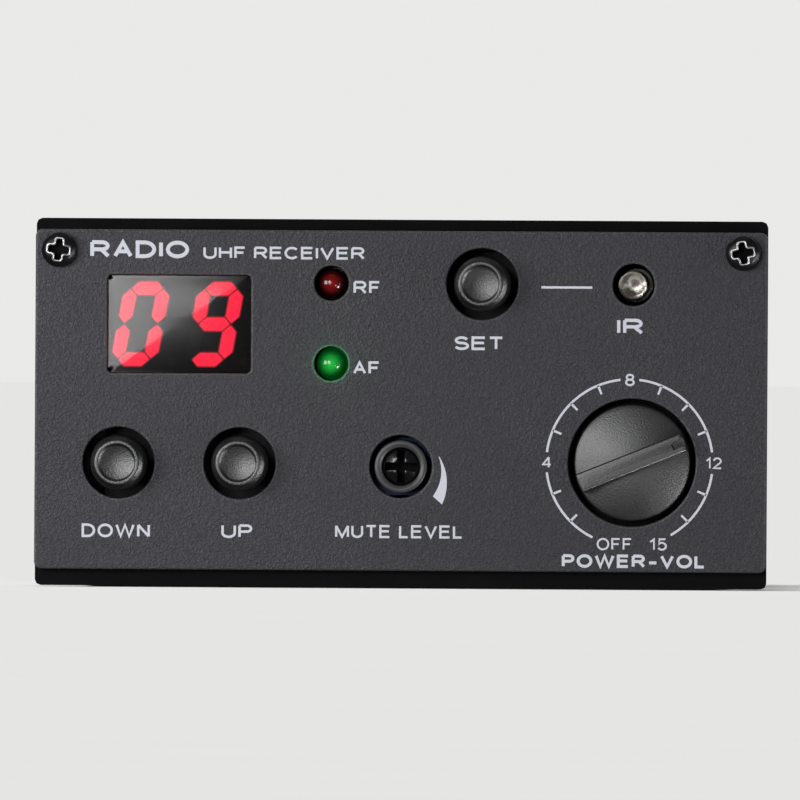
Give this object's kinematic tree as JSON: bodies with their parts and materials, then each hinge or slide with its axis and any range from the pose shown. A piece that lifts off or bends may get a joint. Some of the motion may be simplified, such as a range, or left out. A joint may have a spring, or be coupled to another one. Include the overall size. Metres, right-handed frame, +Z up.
{
  "type": "wireless receiver unit",
  "caption": "Plug-in radio microphone receiver for an amplifier: front plate with display, lamps, push buttons and rotary controls on a sheet-metal box.",
  "frame": {"origin": "centre of the underside of the whole unit, on the surface that it stands on", "axes": "+X to the right as seen from the front, +Y from the front plate to the back, +Z up"},
  "size_m": [0.125, 0.121, 0.0627],
  "materials": {
    "plate_coat": "fine crinkle powder coat, dark grey, satin",
    "black_steel": "satin black paint",
    "zinc_steel": "zinc-plated sheet, satin",
    "screw_black": "black oxide, worn on the edges",
    "nickel": "nickel or tin plate, bright",
    "gold": "gold flash on brass",
    "black_plastic": "moulded, satin",
    "gloss_black": "moulded, glossy",
    "smoked_window": "dark tinted acrylic, polished",
    "red_lens": "tinted clear epoxy",
    "green_lens": "tinted clear epoxy, lit",
    "clear_lens": "clear epoxy",
    "ivory_plastic": "moulded, satin",
    "grey_collar": "moulded, satin",
    "pot_blue": "moulded, satin",
    "capacitor_sleeve": "shrink sleeve, glossy",
    "board_black": "solder resist, matt black",
    "board_green": "solder resist, satin gloss",
    "ribbon_grey": "soft vinyl",
    "white_nylon": "moulded, satin",
    "cable_black": "soft jacket, matte"
  },
  "bodies": {
    "chassis": {"front_plate": "plate_coat", "chassis_tray": "black_steel", "top_cover": "zinc_steel", "panel_screw_left": "screw_black", "panel_screw_right": "screw_black", "display_window": "smoked_window", "display_module": "black_plastic", "display_socket": "black_plastic", "control_board_screw_1": "nickel", "main_board_screw_1": "nickel", "cover_screw_1": "screw_black", "control_board_screw_2": "nickel", "main_board_screw_2": "nickel", "cover_screw_2": "screw_black", "control_board_screw_3": "nickel", "main_board_screw_3": "nickel", "cover_screw_3": "screw_black", "control_board_screw_4": "nickel", "main_board_screw_4": "nickel", "cover_screw_4": "screw_black", "rf_led": "red_lens", "rf_led_spacer": "black_plastic", "af_led": "green_lens", "af_led_spacer": "black_plastic", "ir_led": "clear_lens", "ir_led_spacer": "black_plastic", "set_switch": "gloss_black", "down_switch": "gloss_black", "up_switch": "gloss_black", "mute_pot": "pot_blue", "mute_sleeve": "grey_collar", "volume_pot": "zinc_steel", "control_board": "board_black", "main_board": "board_green", "rf_shield_frame": "nickel", "rf_shield_lid": "nickel", "controller_chip": "gloss_black", "compander_chip": "gloss_black", "crystal": "nickel", "filter_capacitor_1": "capacitor_sleeve", "filter_capacitor_2": "capacitor_sleeve", "filter_capacitor_3": "capacitor_sleeve", "regulator": "nickel", "control_connector": "white_nylon", "main_connector": "white_nylon", "ribbon_cable": "ribbon_grey", "antenna_socket": "gold", "antenna_nut": "nickel", "antenna_lead": "cable_black", "output_header": "white_nylon"},
    "volume": {"volume_knob": "black_plastic", "volume_shaft": "nickel"},
    "mute": {"mute_rotor": "gloss_black"},
    "set_button": {"set_button_cap": "black_plastic", "set_switch_plunger": "ivory_plastic"},
    "down_button": {"down_button_cap": "black_plastic", "down_switch_plunger": "ivory_plastic"},
    "up_button": {"up_button_cap": "black_plastic", "up_switch_plunger": "ivory_plastic"}
  },
  "joints": [
    {"name": "volume_turn", "type": "hinge", "parent": "chassis", "child": "volume", "pos_m": [0.0396, -0.0565, 0.0215], "axis": [0, 1, 0], "range_deg": [-218, 82]},
    {"name": "mute_turn", "type": "hinge", "parent": "chassis", "child": "mute", "pos_m": [0.0001, -0.0565, 0.0206], "axis": [0, 1, 0], "range_deg": [-140, 140]},
    {"name": "set_press", "type": "slide", "parent": "chassis", "child": "set_button", "axis": [0, 1, 0], "range_m": [0, 0.0005], "stiffness_N_per_m": 2000, "springref_m": -0.0003},
    {"name": "down_press", "type": "slide", "parent": "chassis", "child": "down_button", "axis": [0, 1, 0], "range_m": [0, 0.0005], "stiffness_N_per_m": 2000, "springref_m": -0.0003},
    {"name": "up_press", "type": "slide", "parent": "chassis", "child": "up_button", "axis": [0, 1, 0], "range_m": [0, 0.0005], "stiffness_N_per_m": 2000, "springref_m": -0.0003}
  ]
}
